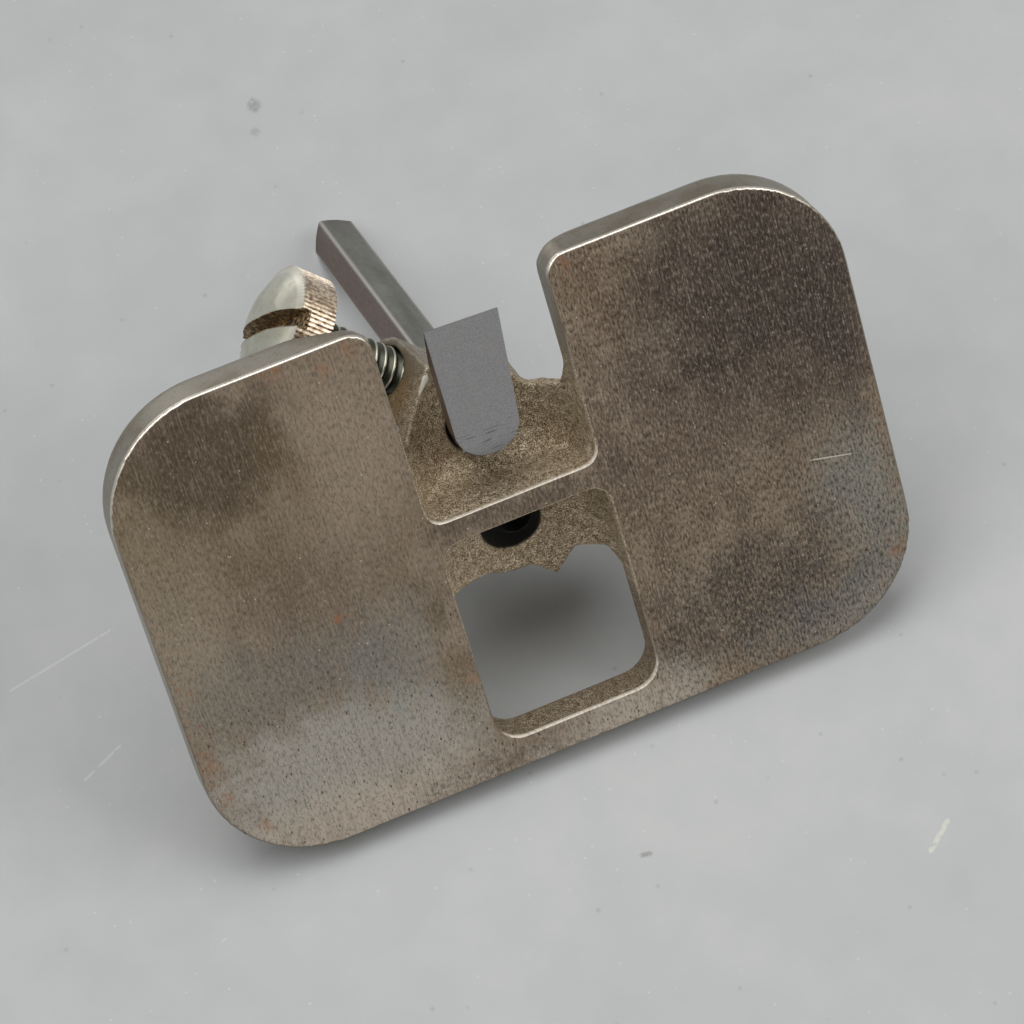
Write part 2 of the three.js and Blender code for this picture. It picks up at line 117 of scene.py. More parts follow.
class Finish:
    """A material of nodes that read the piece's own coordinates, in millimetres."""

    def __init__(self, name):
        self.material = bpy.data.materials.new(name)
        self.material.use_nodes = True
        self.tree = self.material.node_tree
        self.shader = self.tree.nodes["Principled BSDF"]
        self.given = self.node("TexCoord", {}, {})
        self.place = self.vector("SCALE", {0: self.given.outputs["Object"], "Scale": 1000.0})

    def node(self, kind, settings, sockets):
        node = self.tree.nodes.new("ShaderNode" + kind)
        for name, setting in settings.items():
            if name == "stops":
                for stop, (position, colour) in zip(self.stops_of(node, len(setting)), setting):
                    stop.position = position
                    stop.color = colour
            else:
                setattr(node, name, setting)
        for key, value in sockets.items():
            self.join(node.inputs[key], value)
        return node

    def stops_of(self, node, count):
        while len(node.color_ramp.elements) < count:
            node.color_ramp.elements.new(0.5)
        return node.color_ramp.elements

    def join(self, socket, value):
        """Links a varying value to a socket, or sets a plain one on it."""
        if isinstance(value, Value):
            value = value.socket
        if isinstance(value, bpy.types.NodeSocket):
            self.tree.links.new(value, socket)
        else:
            socket.default_value = value

    def vector(self, operation, sockets, output=0):
        return self.node("VectorMath", {"operation": operation}, sockets).outputs[output]

    def xyz(self, vector):
        node = self.node("SeparateXYZ", {}, {0: vector})
        return [Value(self, socket) for socket in node.outputs]

    def stretched(self, x, y, z):
        return self.vector("MULTIPLY", {0: self.place, 1: (x, y, z)})

    def noise(self, x, y, z, detail, roughness=0.55):
        """Cloudy variation with so many features a millimetre along each axis."""
        sockets = {"Vector": self.stretched(x, y, z), "Scale": 1.0}
        sockets.update({"Detail": detail, "Roughness": roughness})
        return Value(self, self.node("TexNoise", {}, sockets).outputs[0])

    def dots(self, x, y, z, size, chosen):
        """Round dots at scattered places, so many a millimetre along each axis. Each place
        has a number of its own from 0 to 1, and chosen says which of them have a dot."""
        node = self.node("TexVoronoi", {}, {"Vector": self.stretched(x, y, z), "Scale": 1.0})
        distance, number = Value(self, node.outputs[0]), self.xyz(node.outputs[1])[0]
        return distance.fall(*size) * number.rise(*chosen)

    def distance(self, point, share):
        """Millimetres from a point, with each axis taken by its share."""
        moved = self.vector("SUBTRACT", {0: self.place, 1: point})
        shared = self.vector("MULTIPLY", {0: moved, 1: share})
        return Value(self, self.vector("LENGTH", {0: shared}, 1))

    def near_line(self, start, end, core, rim):
        """1 along the straight line between two points, falling to 0 at rim from it."""
        length = (end - start).length
        way = (end - start) / length
        moved = self.vector("SUBTRACT", {0: self.place, 1: start})
        along = Value(self, self.vector("DOT_PRODUCT", {0: moved, 1: way}, 1))
        beyond = (0.0 - along).most(along - length).most(0.0)
        cross = self.vector("CROSS_PRODUCT", {0: moved, 1: way})
        beside = Value(self, self.vector("LENGTH", {0: cross}, 1))
        return (beside + beyond).fall(core, rim)

    def blend(self, share, first, second):
        """The second colour laid over the first, as thick as share."""
        return self.node("Mix", {"data_type": "RGBA"}, {0: share, 6: first, 7: second}).outputs[2]

    def ramp(self, value, stops):
        return self.node("ValToRGB", {"stops": stops}, {0: value}).outputs[0]

    def wear(self, colour, roughness, metallic, height):
        """Joins the finished fields to the shader; height is in millimetres."""
        self.join(self.shader.inputs["Base Color"], colour)
        self.join(self.shader.inputs["Roughness"], roughness)
        self.join(self.shader.inputs["Metallic"], metallic)
        bump = self.node("Bump", {}, {"Strength": 1.0, "Distance": 0.001, "Height": height})
        self.join(self.shader.inputs["Normal"], bump.outputs[0])
        return self.material


table_up = Vector((0, -0.854, -0.520))
table_point = metres(0, 28.3, 4.8)
table_width = 6
table_greys = [
    (0.34, tone(182, 184, 184)),
    (0.52, tone(188, 190, 190)),
    (0.66, tone(193, 194, 193)),
]
speck_grey = tone(140, 140, 138)
chip_white = tone(222, 222, 218)
# Scratches and stains: start, end, core, rim, colour and strength.
table_marks = [
    ((-51.6, 27.4), (-39.7, 29.7), 0.05, 0.2, tone(214, 216, 214), 0.6),
    ((-48.1, 14.5), (-43.4, 16.7), 0.05, 0.2, tone(216, 218, 216), 0.6),
    ((26.2, -28.4), (29.2, -26.1), 0.12, 0.4, tone(216, 216, 202), 0.8),
    ((-1.8, 85.8), (-1.9, 85.0), 0.2, 1.1, tone(128, 130, 130), 0.6),
    ((-3.0, 82.1), (-3.1, 81.8), 0.1, 0.9, tone(140, 142, 140), 0.5),
    ((-0.2, -16.8), (0.8, -17.0), 0.1, 0.4, tone(124, 122, 118), 0.6),
]

bpy.ops.object.select_all(action="DESELECT")
bpy.ops.mesh.primitive_plane_add(size=table_width)
table = bpy.context.object
table.name = "table"
table_turn = table_up.to_track_quat("Z", "Y").to_matrix().to_4x4()
table.matrix_world = Matrix.Translation(table_point) @ table_turn

paint = Finish("painted_table")
mottle = paint.noise(0.03, 0.03, 0.03, 4)
smudge = paint.noise(0.14, 0.14, 0.14, 3)
fine = paint.noise(1.6, 1.6, 1.6, 2)
specks = paint.dots(0.32, 0.32, 0.32, (0.03, 0.12), (0.7, 0.8))
chips = paint.dots(0.75, 0.75, 0.75, (0.05, 0.14), (0.72, 0.8))
colour = paint.ramp(mottle * 0.6 + smudge * 0.4, table_greys)
colour = paint.blend(specks * 0.35, colour, speck_grey)
colour = paint.blend(chips * 0.4, colour, chip_white)
for start, end, core, rim, mark_colour, strength in table_marks:
    mark = paint.near_line(Vector((*start, 0.0)), Vector((*end, 0.0)), core, rim)
    colour = paint.blend(mark * strength * fine.rise(0.3, 0.5), colour, mark_colour)
paint.wear(colour, 0.5 + 0.1 * fine, 0.0, fine * 0.01)
back = paint.node("NewGeometry", {}, {}).outputs["Backfacing"]
clear = paint.node("BsdfTransparent", {}, {}).outputs[0]
seen = paint.node("MixShader", {}, {0: back, 1: paint.shader.outputs[0], 2: clear}).outputs[0]
paint.join(paint.tree.nodes["Material Output"].inputs["Surface"], seen)
table.data.materials.append(paint.material)


# Light. Three soft boxes stand round the table: high over it, to its left and low on its
# right. Two more fill from the camera's side and light the tool's upper side.
def soft_box(name, way, width, watts):
    """A square lamp that faces the tool; way is the step to it from the tool's middle."""
    lamp_data = bpy.data.lights.new(name, "AREA")
    lamp_data.shape = "SQUARE"
    lamp_data.size = width
    lamp_data.energy = watts
    lamp = bpy.data.objects.new(name, lamp_data)
    lamp_turn = way.to_track_quat("Z", "Y").to_matrix().to_4x4()
    lamp.matrix_world = Matrix.Translation(tool_middle + way) @ lamp_turn
    bpy.context.scene.collection.objects.link(lamp)


tool_middle = metres(0, 0, 15)
table_far = Vector((0.424, -0.4712, 0.7735))
table_right = table_far.cross(table_up)
lamp_reach = 0.65
lamp_width = 0.48
# Name, degrees above the table, degrees to the right of its far side, and watts.
lamps = [("over", 75, 330, 2.1), ("left", 55, 240, 1.35), ("right", 35, 90, 2.05)]
for name, height, turn, watts in lamps:
    height, turn = math.radians(height), math.radians(turn)
    level_way = table_far * math.cos(turn) + table_right * math.sin(turn)
    way = table_up * math.sin(height) + level_way * math.cos(height)
    soft_box("soft_box_" + name, way * lamp_reach, lamp_width, watts)
soft_box("soft_box_low", metres(-40, 240, -430), 0.4, 0.42)
soft_box("soft_box_above_tool", metres(-120, -160, 520), 0.5, 0.9)

# The room is nearly dark, but it shows bright to the camera and in mirrored rays.
studio_colour = tone(240, 240, 238)
studio_level = 0.04
mirrored_level = 0.6

world = bpy.data.worlds.new("studio")
bpy.context.scene.world = world
world.use_nodes = True
sky = world.node_tree
path = sky.nodes.new("ShaderNodeLightPath")
mirrored = sky.nodes.new("ShaderNodeMath")
mirrored.operation = "MAXIMUM"
sky.links.new(path.outputs["Is Camera Ray"], mirrored.inputs[0])
sky.links.new(path.outputs["Is Glossy Ray"], mirrored.inputs[1])
level = sky.nodes.new("ShaderNodeMapRange")
level.inputs["To Min"].default_value = studio_level
level.inputs["To Max"].default_value = mirrored_level
sky.links.new(mirrored.outputs[0], level.inputs["Value"])
sky.links.new(level.outputs[0], sky.nodes["Background"].inputs["Strength"])
sky.nodes["Background"].inputs["Color"].default_value = studio_colour
bpy.context.scene.view_settings.view_transform = "Standard"


# Base: one iron casting, nickel plated. The sole is lapped flat and has worn to a mottled
# brown grey; the throat and the underside of the bridge keep the rough skin of the mould.
def only(piece):
    bpy.ops.object.select_all(action="DESELECT")
    piece.select_set(True)
    bpy.context.view_layer.objects.active = piece


def reshape(piece, chosen, *changes):
    """Runs the changes in edit mode on just the vertices whose place is chosen."""
    places = np.empty(len(piece.data.vertices) * 3, np.float32)
    piece.data.vertices.foreach_get("co", places)
    x, y, z = places.reshape(-1, 3).T * 1000
    only(piece)
    bpy.ops.object.mode_set(mode="EDIT")
    bpy.ops.mesh.select_mode(type="VERT")
    bpy.ops.mesh.select_all(action="DESELECT")
    bpy.ops.object.mode_set(mode="OBJECT")
    piece.data.vertices.foreach_set("select", chosen(x, y, z))
    bpy.ops.object.mode_set(mode="EDIT")
    for change in changes:
        change()
    bpy.ops.object.mode_set(mode="OBJECT")


def everywhere(x, y, z):
    return np.full(len(x), True)


def smoothed(times):
    return lambda: bpy.ops.mesh.vertices_smooth(factor=0.5, repeat=times)


def scaled(*shares):
    return lambda: bpy.ops.transform.resize(value=shares, center_override=(0, 0, 0))


def shaped_copy(name, node):
    """A new piece that starts from a CAD node's solid, with its faces joined."""
    piece = bpy.data.objects.new(name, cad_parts[node].data.copy())
    bpy.context.scene.collection.objects.link(piece)
    reshape(piece, everywhere, lambda: bpy.ops.mesh.remove_doubles(threshold=1e-6))
    piece.data.materials.clear()
    return piece


front_hole = (-0.15, -5.85)
rear_hole = (0.15, 5.85)
screw_height = 13.3
hole_wall = 3.7
strip_side = 1.5
vault_side = 9.4
vault_front = -8.2
vault_foot = 0.9
vault_top = 9.4
lug_line = -0.3
# The step of the casting's new skin is in metres, the other sizes are in millimetres.
skin_step = 0.000336


def in_pocket(x, y, z):
    """The vaults right of the line through the lugs, without the walls of the holes."""
    from_front, from_rear = [np.hypot(x - hole[0], y - hole[1]) for hole in (front_hole, rear_hole)]
    beside_strip = (abs(x) < vault_side) & (abs(y) > strip_side) & (y > vault_front)
    under_bridge = (z > vault_foot) & (z < vault_top) & (x - y > lug_line)
    return beside_strip & under_bridge & (np.minimum(from_front, from_rear) > hole_wall)


casting = shaped_copy("casting", "body")
casting.data.remesh_voxel_size = skin_step
bpy.ops.object.voxel_remesh()
reshape(casting, everywhere, smoothed(3))
reshape(casting, in_pocket, smoothed(110))
reshape(casting, lambda x, y, z: z < 0.1, scaled(1, 1, 0))
bpy.ops.object.shade_smooth()
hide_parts("body")
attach(casting, "base")

iron = Finish("worn_nickelled_iron")
x, y, z = iron.xyz(iron.place)
outward = iron.xyz(iron.given.outputs["Normal"])
cloud = iron.noise(0.07, 0.05, 0.07, 4)
patch = iron.noise(0.22, 0.15, 0.22, 5)
grain = iron.noise(7.5, 7.5, 7.5, 4, 0.75)
lumps = iron.noise(1.6, 1.6, 1.6, 3)
lapping = iron.noise(7.5, 0.3, 1.0, 4, 0.6)
streaks = iron.noise(3.0, 0.13, 1.0, 3)
fleck = iron.noise(4.6, 1.7, 1.0, 4, 0.65)
freckle = iron.noise(2.6, 1.7, 2.6, 4, 0.7)

# Where each finish starts and where it is complete, in millimetres.
sole_skin = (0.02, 0.12)
rough_sides = (9.7, 10.3)
rough_front = (-15.5, -10.5)
rough_rear = (25.4, 25.9)
rough_top = (14.0, 16.0)
highlight_rim = (0.3, 0.55)
crease_start = Vector((-3.66, -12.69, 7.84))
crease_end = Vector((-6.54, -10.21, 6.12))
crease_highlight_side = (0.26, 0.46)
hole_side = (3.15, 3.35)
hole_mouth = (7.6, 8.4)
vault_roof = (8.8, 9.2)
screw_hole_side = (2.62, 2.76)
screw_hole_reach = 5.7

# The lapped sole, the rough inside, a painted highlight on the worn front rim, a painted highlight along
# the lug's crease, and painted shade in the holes.
sole = z.fall(*sole_skin) * (0.0 - outward[2]).rise(0.9, 0.97)
plated = 1.0 - sole
inside = abs(x).fall(*rough_sides) * y.rise(*rough_front) * y.fall(*rough_rear)
inside = inside * z.fall(*rough_top) * plated
# Painted highlight: along the sole's edges, the worn rim of the faces that look to the front, towards the
# light, is painted bright.
edge_highlight = z.fall(*highlight_rim) * plated * (0.65 + 0.35 * fleck.rise(0.4, 0.55))
edge_highlight = edge_highlight * (outward[0] * -0.3 - outward[1]).rise(0.12, 0.5)
# Painted highlight: a bright line painted along the lower edge of the front lug's face.
crease_highlight = iron.near_line(crease_start, crease_end, *crease_highlight_side)
below_roof = 1.0 - abs(outward[2]).rise(0.75, 0.95) * z.fall(*vault_roof)
# Painted shade: the walls of both upright holes and of the screw's hole are painted nearly black.
hole_shade = 0.0
for hole, side in [(front_hole, -1), (rear_hole, 1)]:
    upright_hole_shade = iron.distance((*hole, 0.0), (1.0, 1.0, 0.0)).fall(*hole_side)
    upright_hole_shade = upright_hole_shade * z.rise(*hole_mouth) * below_roof
    start = Vector((*hole, screw_height))
    end = start + Vector((side, side, 0)) * screw_hole_reach
    hole_shade = upright_hole_shade.most(iron.near_line(start, end, *screw_hole_side)).most(hole_shade)

# Stains on the sole, and pale patches towards the rear left painted as sheen: centre, share of
# each axis, core, rim, colour, strength, and how far the stain breaks up into freckles.
stains_and_sheen = [
    ((-15.0, -13.0), (0.8, 0.55), 1.0, 9.0, tone(150, 135, 118), 0.75, 0.0),
    ((-36.0, -8.0), (1.1, 0.5), 1.0, 9.0, tone(136, 122, 98), 0.6, 0.0),
    ((-36.0, 6.0), (1.0, 0.45), 1.0, 9.0, tone(140, 130, 114), 0.65, 0.0),
    ((-22.0, 4.0), (0.6, 0.7), 1.0, 8.0, tone(98, 88, 76), 0.4, 0.4),
    ((-28.0, 9.0), (0.5, 1.0), 1.0, 8.0, tone(116, 112, 104), 0.7, 0.0),
    ((-24.0, 20.0), (0.4, 0.9), 3.0, 9.0, tone(162, 158, 149), 0.85, 0.0),
    ((-16.0, 10.5), (0.7, 0.8), 1.0, 7.0, tone(122, 124, 120), 0.5, 0.0),
    ((-24.0, 27.0), (0.34, 1.2), 2.0, 8.0, tone(176, 164, 150), 0.85, 0.0),
    ((34.0, 14.0), (0.8, 0.4), 0.5, 6.5, tone(140, 142, 136), 0.75, 0.3),
    ((28.0, 25.0), (0.4, 1.0), 0.5, 5.5, tone(134, 134, 130), 0.7, 0.3),
    ((5.0, 27.0), (0.3, 1.0), 0.5, 5.0, tone(176, 166, 152), 0.9, 0.0),
    ((14.0, -18.0), (0.7, 0.5), 0.5, 5.5, tone(126, 104, 84), 0.6, 0.3),
    ((22.0, -1.0), (0.35, 0.7), 2.0, 9.0, tone(96, 82, 70), 0.55, 0.0),
    ((-27.6, -17.2), (0.75, 1.0), 3.6, 8.8, tone(60, 48, 41), 0.88, 0.2),
    ((-20.5, -12.5), (1.0, 0.5), 0.5, 3.5, tone(104, 84, 52), 0.35, 0.2),
    ((-28.0, -13.0), (0.6, 0.8), 5.0, 9.5, tone(104, 90, 58), 0.25, 0.2),
    ((29.5, -13.5), (0.62, 0.72), 3.5, 14.5, tone(46, 36, 36), 0.9, 0.2),
    ((36.0, -3.0), (1.0, 0.5), 0.5, 5.0, tone(62, 54, 52), 0.7, 0.3),
    ((16.0, -3.0), (0.6, 0.4), 0.5, 6.0, tone(104, 88, 76), 0.5, 0.2),
    ((22.4, -7.0), (0.7, 1.5), 0.8, 4.2, tone(40, 31, 28), 0.8, 0.6),
    ((20.5, 20.0), (0.45, 0.7), 1.5, 7.0, tone(52, 50, 50), 0.85, 0.7),
    ((29.0, 16.0), (0.6, 0.8), 0.5, 5.0, tone(60, 56, 54), 0.55, 0.8),
    ((-10.8, 13.0), (1.2, 0.35), 0.5, 3.2, tone(98, 78, 44), 0.65, 0.4),
    ((-9.0, 27.0), (0.28, 1.2), 0.5, 3.6, tone(60, 50, 38), 0.55, 0.8),
    ((0.0, 0.0), (0.22, 1.0), 1.0, 3.0, tone(80, 68, 60), 0.6, 0.5),
]
sole_browns = [
    (0.36, tone(106, 91, 75)),
    (0.5, tone(123, 108, 91)),
    (0.64, tone(140, 126, 109)),
]
sole_colour = iron.ramp(cloud * 0.4 + patch * 0.6, sole_browns)
ragged = patch * 9.0 + iron.noise(0.9, 0.6, 0.9, 4) * 5.0 - 7.0
freckled = freckle.rise(0.42, 0.6)
# Stains, and pale patches of painted sheen towards the rear left.
for centre, share, core, rim, stain_and_sheen_colour, strength, broken in stains_and_sheen:
    spread = iron.distance((*centre, 0.0), (*share, 0.0)) + ragged
    cover = spread.fall(core, rim) * (freckled * broken + (1.0 - broken)) * strength
    sole_colour = iron.blend(cover, sole_colour, stain_and_sheen_colour)

# Rust along the left and right rims, and in spots given by place and reach.
rust_left = -33.5
rust_right = 34.5
rust_rim = (0.0, 4.0)
rust_rear = (-8.0, 8.0)
rust_spots = [
    (-20.1, 4.2, 0.8), (-36.2, 18.5, 1.4), (-36.6, 14.5, 1.2), (-9.6, 16.2, 0.9), (35.6, 20.9, 1.0),
    (10.9, -22.4, 0.9), (-11.3, -22.8, 1.2), (-18.9, -23.2, 1.3), (-14.0, -21.5, 0.8), (-33.5, 23.0, 0.9),
]
rust_cloud = iron.noise(1.6, 1.3, 1.6, 5, 0.65)
past_rims = (rust_left - x).most(x - rust_right)
rust = rust_cloud.rise(0.54, 0.66) * past_rims.rise(*rust_rim) * y.rise(*rust_rear) * 0.55
for spot_x, spot_y, reach in rust_spots:
    spread = iron.distance((spot_x, spot_y, 0), (1.0, 0.8, 0.6)) + (rust_cloud - 0.5) * 7.0
    rust = rust.most(spread.fall(reach * -0.6, reach) * 0.5)

# One long bright score, and pits that thicken towards the rear.
score_x = 31.6
score_y = 8.1
score_slope = 0.245
score_side = (0.02, 0.11)
score_end = (1.6, 2.5)
scored = abs((y - score_y) - (x - score_x) * score_slope).fall(*score_side)
scored = scored * abs(x - score_x).fall(*score_end)
flecked = 0.55 + 0.45 * (x - y * 0.3).rise(-10.0, 14.0)
pitted = 0.12 + (y + x * -0.15).rise(-8.0, 22.0) * 0.88
pits = iron.dots(2.1, 1.0, 1.0, (0.1, 0.24), (0.74, 0.78))
pores = iron.dots(4.4, 2.0, 1.0, (0.12, 0.36), (0.6, 0.7))
glints = iron.dots(1.1, 0.9, 1.0, (0.04, 0.11), (0.6, 0.66))

# What lies over the stains and the painted sheen, from the lowest layer up: how thick, and its colour.
sole_layers = [
    (fleck.fall(0.36, 0.52) * flecked * 0.78, tone(48, 38, 28)),
    (fleck.rise(0.52, 0.68) * flecked * 0.52, tone(172, 158, 140)),
    (streaks.rise(0.5, 0.66) * 0.16, tone(70, 60, 50)),
    (lapping.rise(0.48, 0.7) * 0.24, tone(172, 162, 146)),
    ((pits * 0.8 + pores * 0.6) * pitted, tone(58, 46, 36)),
    (glints * 0.6, tone(214, 206, 192)),
    (scored * 0.8, tone(214, 206, 190)),
    (rust, tone(150, 96, 58)),
]
for cover, layer_colour in sole_layers:
    sole_colour = iron.blend(cover, sole_colour, layer_colour)

# Plate on the outer faces, and the salt-and-pepper skin of the mould inside, which is
# browner on the face of the front lug and behind the bridge.
nickel_grey = tone(144, 138, 126)
nickel_brown = tone(118, 104, 84)
nickel_freckle = tone(92, 76, 56)
cast_tones = [
    (0.41, tone(62, 48, 34)),
    (0.48, tone(150, 132, 106)),
    (0.54, tone(208, 190, 160)),
    (0.61, tone(254, 248, 236)),
]
cast_dust = tone(150, 136, 108)
lug_brown = tone(134, 102, 56)
rear_brown = tone(70, 52, 36)
lug_front = (-16.4, -15.2)
lug_foot = (4.0, 5.0)
behind_bridge = (13.5, 15.5)

nickel_colour = iron.blend(patch.rise(0.42, 0.62) * 0.6, nickel_grey, nickel_brown)
nickel_colour = iron.blend(freckle.rise(0.56, 0.66) * 0.5, nickel_colour, nickel_freckle)
cast_colour = iron.ramp(grain * 0.8 + lumps * 0.2, cast_tones)
cast_colour = iron.blend(patch.rise(0.35, 0.65) * 0.3, cast_colour, cast_dust)
lug_face = (x + y * 0.9).fall(*lug_front) * z.rise(*lug_foot)
cast_colour = iron.blend(lug_face * 0.65, cast_colour, lug_brown)
cast_colour = iron.blend(y.rise(*behind_bridge) * 0.45, cast_colour, rear_brown)

# Colour of the painted highlights on the front rim and along the lug's crease.
highlight_white = tone(232, 224, 212)
# Colour of the painted shade in the holes.
hole_shade_dark = tone(16, 12, 9)

colour = iron.blend(inside, nickel_colour, cast_colour)
# Painted highlights on the front rim and along the lug's crease.
colour = iron.blend((edge_highlight * 0.9).most(crease_highlight), colour, highlight_white)
colour = iron.blend(sole, colour, sole_colour)
# Painted shade in the holes.
colour = iron.blend(hole_shade, colour, hole_shade_dark)
polished = plated * (0.28 + inside * 0.3 + 0.1 * grain - edge_highlight.most(crease_highlight) * 0.06)
roughness = sole * (0.42 + 0.14 * patch + pits * 0.2) + polished + hole_shade * 0.3
height = sole * (lapping * 0.004 - pits * 0.015 - fleck * 0.004)
height = height + inside * (grain * 0.09 + lumps * 0.1) + plated * (1.0 - inside) * lumps * 0.008
metallic = 0.75 + 0.2 * edge_highlight - 0.45 * rust - 0.75 * hole_shade.most(crease_highlight)
casting.data.materials.append(iron.wear(colour, roughness, metallic, height))


# Cutter: tool steel forged to an L. The foot is ground flat and sharpened at the front,
# and the square shank is dark from the forge, its left face painted darker as shade,
# and its corners worn and painted bright as a highlight.
shank_top = 60.5
shank_centre = (-0.45, -5.9)
shank_turn = math.radians(22.6)
end_bevel = 0.7
worn_edge = 0.11


def shank_end(x, y, z):
    return z > shank_top - 0.1


cutter = shaped_copy("cutter_blade", "cutter")
reshape(cutter, everywhere, lambda: bpy.ops.mesh.dissolve_limited(angle_limit=math.radians(0.5)))
reshape(
    cutter,
    shank_end,
    lambda: bpy.ops.mesh.bevel(offset=end_bevel / 1000, segments=4, affect="EDGES"),
)
softened = cutter.modifiers.new("worn_edges", "BEVEL")
softened.width = worn_edge / 1000
softened.segments = 2
softened.limit_method = "ANGLE"
softened.angle_limit = math.radians(28)
bpy.ops.object.modifier_apply(modifier=softened.name)
bpy.ops.object.shade_smooth_by_angle(angle=math.radians(24))
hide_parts("cutter")
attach(cutter, "cutter")

foot_top = (0.15, 0.5)
bend_top = (6.5, 8.0)
dark_end = (54.0, 60.0)
corner_side = (0.1, 0.5)
scratch_start = (-11.5, -8.5)
foot_grey = tone(122, 122, 123)
foot_cloud = tone(138, 136, 135)
grind_bright = tone(148, 148, 152)
scratch_dark = tone(66, 66, 70)
shank_greys = [
    (0.38, tone(102, 98, 88)),
    (0.5, tone(122, 121, 113)),
    (0.62, tone(140, 139, 132)),
]
# Darker browns of the painted shade on the shank's left face.
left_shade_brown = tone(84, 50, 38)
left_shade_tan = tone(120, 92, 74)
end_dark = tone(84, 74, 66)
corner_wear_and_highlight_colour = tone(196, 192, 184)

steel = Finish("ground_tool_steel")
x, y, z = steel.xyz(steel.place)
outward = steel.xyz(steel.given.outputs["Normal"])
turn_cos, turn_sin = math.cos(shank_turn), math.sin(shank_turn)
shank_x, shank_y = x - shank_centre[0], y - shank_centre[1]
along_side = shank_x * turn_cos + shank_y * turn_sin
along_face = shank_y * turn_cos - shank_x * turn_sin
grind = steel.noise(0.8, 9.0, 2.0, 4, 0.6)
forge = steel.noise(0.4, 0.4, 0.12, 4)
skin = steel.noise(3.0, 3.0, 1.6, 4)
fuzz = steel.noise(7.0, 7.0, 7.0, 3)

foot = z.fall(*foot_top)
foot_colour = steel.blend(fuzz.rise(0.35, 0.65), foot_grey, foot_cloud)
foot_colour = steel.blend(grind.rise(0.5, 0.64) * 0.18, foot_colour, grind_bright)
scratches = steel.noise(0.35, 5.0, 1.0, 2).rise(0.62, 0.66) * y.rise(*scratch_start)
foot_colour = steel.blend(scratches * 0.6, foot_colour, scratch_dark)

shank_colour = steel.ramp(forge * 0.7 + skin * 0.3, shank_greys)
# Painted shade: the shank's left face is painted a darker brown than its other faces.
shaded_left_face = (0.0 - outward[0] * turn_cos - outward[1] * turn_sin).rise(0.7, 0.9)
left_shade_colour = steel.blend(skin.rise(0.4, 0.62), left_shade_brown, left_shade_tan)
shank_colour = steel.blend(shaded_left_face * 0.85, shank_colour, left_shade_colour)
shank_colour = steel.blend(z.rise(*dark_end) * 0.5, shank_colour, end_dark)
# Worn corners of the shank, painted bright as a highlight as well.
corner = abs(abs(along_side) - abs(along_face)).fall(*corner_side) * z.rise(*bend_top)
shank_colour = steel.blend(corner * 0.8, shank_colour, corner_wear_and_highlight_colour)

colour = steel.blend(foot, shank_colour, foot_colour)
roughness = foot * 0.08 + 0.34 + 0.1 * skin
height = foot * (grind * 0.002 - scratches * 0.005) + (1.0 - foot) * skin * 0.008
cutter.data.materials.append(steel.wear(colour, roughness, 0.85, height))


# Thumbscrew: turned steel, nickel plated. A threaded stem, a straight-knurled head and a
# domed, slotted face. It is threaded through the lug and its point bears on the shank.
# Sizes are in millimetres, with heights along the screw from the axis of the front hole.
pitch = 1.06
root_radius = 2.04
crest_radius = 2.46
thread_start = 4.7
thread_turns = 13
thread_sides = 48
thread_profile = [
    (root_radius, 0.0),
    (crest_radius, 0.44),
    (crest_radius, 0.56),
    (root_radius, 1.0),
    (root_radius, pitch),
]
head_start = 18.4
head_end = 22.0
head_radius = 6.1
head_bevel = 0.12
head_bevel_share = 0.95
# Each ring of the dome: its share of the ring below it, and its height above that one.
dome_rings = [(0.94, 0.12), (0.93, 0.28), (0.88, 0.34), (0.82, 0.32), (0.72, 0.24), (0.5, 0.13)]
teeth = 84
tooth_columns = 4
groove_share = 0.965
slot_turn = math.radians(38)
slot_offset = -0.7
slot_size = (1.7, 20, 5.4)
slot_middle = 24.0
slot_corner = 0.25

screw_out = Vector((-1, -1, 0)).normalized()
screw_side = Vector((0, 0, 1)).cross(screw_out)
screw_start = Vector((*front_hole, screw_height))
screw_frame = Matrix((screw_side, Vector((0, 0, 1)), screw_out)).transposed().to_4x4()
screw_frame = Matrix.Translation(screw_start / 1000) @ screw_frame

bpy.ops.object.select_all(action="DESELECT")
bpy.ops.mesh.primitive_plane_add(size=1)
stem = bpy.context.object
stem.name = "thumbscrew_metal"
reshape(stem, everywhere, lambda: bpy.ops.mesh.delete(type="VERT"))
stem.data.from_pydata(
    [metres(radius, 0, thread_start + height) for radius, height in thread_profile],
    [(i, i + 1) for i in range(len(thread_profile) - 1)],
    [],
)
helix = stem.modifiers.new("thread", "SCREW")
helix.angle = math.radians(360)
helix.screw_offset = pitch / 1000
helix.iterations = thread_turns
helix.steps = thread_sides
helix.render_steps = thread_sides
helix.use_merge_vertices = True
helix.merge_threshold = 1e-6
bpy.ops.object.modifier_apply(modifier=helix.name)


def raised(height):
    move = {"value": metres(0, 0, height)}
    return lambda: bpy.ops.mesh.extrude_region_move(TRANSFORM_OT_translate=move)


def in_groove(x, y, z):
    """One column of the head's side in each tooth, to be pressed in between the teeth."""
    column = np.round(np.degrees(np.arctan2(y, x)) / 360 * teeth * tooth_columns).astype(int)
    return (column % tooth_columns == 0) & (np.hypot(x, y) > head_radius - 0.1)


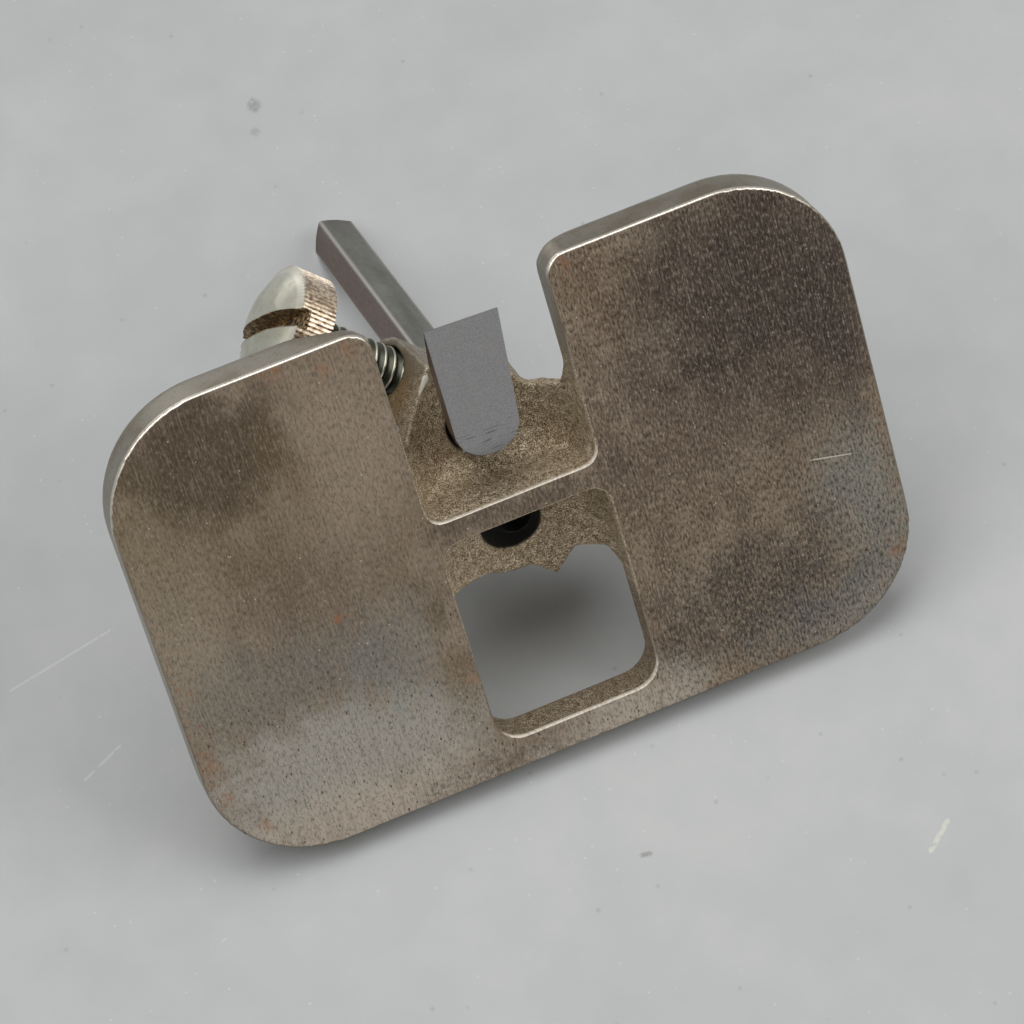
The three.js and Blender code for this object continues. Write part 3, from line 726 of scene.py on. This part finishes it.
bpy.ops.object.select_all(action="DESELECT")
bpy.ops.mesh.primitive_cylinder_add(
    vertices=teeth * tooth_columns,
    radius=head_radius / 1000,
    depth=(head_end - head_start) / 1000,
    location=metres(0, 0, (head_start + head_end) / 2),
)
head = bpy.context.object
bpy.ops.object.transform_apply(location=True, rotation=True, scale=True)
narrowed = scaled(head_bevel_share, head_bevel_share, 1)
for rim, way in [(head_start, -1), (head_end, 1)]:
    reshape(head, lambda x, y, z: abs(z - rim) < 0.01, raised(head_bevel * way), narrowed)
for share, climb in dome_rings:
    top = max(corner.co.z for corner in head.data.vertices) * 1000
    reshape(head, lambda x, y, z: z > top - 0.01, raised(climb), scaled(share, share, 1))
reshape(head, in_groove, scaled(groove_share, groove_share, 1))

slot_place = (slot_offset * math.cos(slot_turn), slot_offset * math.sin(slot_turn), slot_middle)
bpy.ops.object.select_all(action="DESELECT")
bpy.ops.mesh.primitive_cube_add(size=1, location=metres(*slot_place))
slot_cut = bpy.context.object
slot_cut.scale = metres(*slot_size)
slot_cut.rotation_euler = (0, 0, slot_turn)
bpy.ops.object.transform_apply(location=True, rotation=True, scale=True)
reshape(
    slot_cut,
    everywhere,
    lambda: bpy.ops.mesh.bevel(offset=slot_corner / 1000, segments=2, affect="EDGES"),
)
only(head)
cut = head.modifiers.new("slot", "BOOLEAN")
cut.operation = "DIFFERENCE"
cut.solver = "EXACT"
cut.object = slot_cut
bpy.ops.object.modifier_apply(modifier=cut.name)
bpy.data.objects.remove(slot_cut)

stem.select_set(True)
bpy.context.view_layer.objects.active = stem
bpy.ops.object.join()
stem.data.transform(screw_frame)
reshape(stem, everywhere, lambda: bpy.ops.mesh.normals_make_consistent(inside=False))
bpy.ops.object.shade_smooth_by_angle(angle=math.radians(32))
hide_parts("thumbscrew")
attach(stem, "screw_turn")

thread_end = (17.6, 17.9)
knurl_start = (17.9, 18.1)
knurl_end = (21.8, 22.1)
bright_start = (22.0, 22.1)
bright_end = (22.3, 22.5)
slot_side = (0.84, 1.0)
slot_floor = (21.0, 21.2)
crest_side = (crest_radius - 0.1, crest_radius - 0.02)
plate_white = tone(200, 199, 186)
plate_tarnish = tone(170, 166, 145)
plate_grime = tone(130, 116, 90)
thread_dark = tone(72, 74, 64)
crest_bright = tone(206, 200, 182)
bevel_bright = tone(240, 234, 218)
knurl_tones = [
    (0.36, tone(128, 102, 84)),
    (0.5, tone(200, 180, 158)),
    (0.62, tone(232, 218, 200)),
]
slot_tones = [
    (0.4, tone(46, 30, 18)),
    (0.52, tone(128, 100, 58)),
    (0.62, tone(196, 170, 120)),
]

nickel = Finish("worn_nickel_plate")
x, y, z = nickel.xyz(nickel.place)
screw_x, screw_y = x - screw_start[0], y - screw_start[1]
out = screw_x * screw_out[0] + screw_y * screw_out[1]
beside = screw_x * screw_side[0] + screw_y * screw_side[1]
above = z - screw_height
tarnish = nickel.noise(0.5, 0.5, 0.5, 4)
grime = nickel.noise(2.2, 2.2, 2.2, 4)

threaded = out.fall(*thread_end)
crest = 1.0 - nickel.near_line(screw_start, screw_start + screw_out * 20, *crest_side)
knurled = out.fall(*knurl_end) * out.rise(*knurl_start)
bevelled = out.rise(*bright_start) * out.fall(*bright_end)
across_slot = beside * math.cos(slot_turn) + above * math.sin(slot_turn) - slot_offset
in_slot = abs(across_slot).fall(*slot_side) * out.rise(*slot_floor)

colour = nickel.blend(tarnish.rise(0.45, 0.65) * 0.5, plate_white, plate_tarnish)
colour = nickel.blend(grime.rise(0.58, 0.68) * 0.2, colour, plate_grime)
colour = nickel.blend(knurled * 0.8, colour, nickel.ramp(grime, knurl_tones))
colour = nickel.blend(bevelled * 0.5, colour, bevel_bright)
thread_colour = nickel.blend(crest * 0.8, thread_dark, crest_bright)
colour = nickel.blend(threaded, colour, thread_colour)
colour = nickel.blend(in_slot * 0.85, colour, nickel.ramp(grime, slot_tones))
roughness = 0.26 + 0.16 * grime + in_slot * 0.2
height = grime * (0.006 + in_slot * 0.14)
plate = nickel.wear(colour, roughness, 0.9, height)
stem.data.materials.append(plate)
screw_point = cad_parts["thumbscrew_point"]
screw_point.data.materials.clear()
screw_point.data.materials.append(plate)
